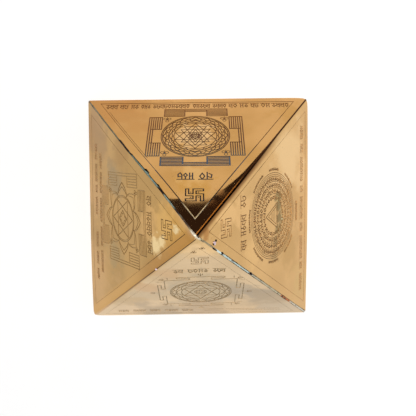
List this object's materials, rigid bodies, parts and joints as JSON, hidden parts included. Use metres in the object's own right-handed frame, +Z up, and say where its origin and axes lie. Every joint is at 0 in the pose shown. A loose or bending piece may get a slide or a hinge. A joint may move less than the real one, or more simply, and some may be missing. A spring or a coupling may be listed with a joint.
{
  "type": "vastu pyramid",
  "caption": "Hollow square pyramid of etched, gold-plated sheet, open underneath, with a traditional yantra figure on each face.",
  "frame": {"origin": "middle of the open square base, on the surface that the pyramid stands on", "axes": "+Z up through the tip; +Y out towards the north face and +X out towards the east face"},
  "size_m": [0.1016, 0.1016, 0.0717],
  "materials": {
    "gold_plated_sheet": "polished gold plate on thin brass sheet, with matte etched lines",
    "solder": null
  },
  "bodies": {
    "root": {"north_east_sheet": "gold_plated_sheet", "south_west_sheet": "gold_plated_sheet", "north_west_solder_seam": "solder", "south_east_solder_seam": "solder", "tip_solder": "solder"}
  },
  "joints": []
}
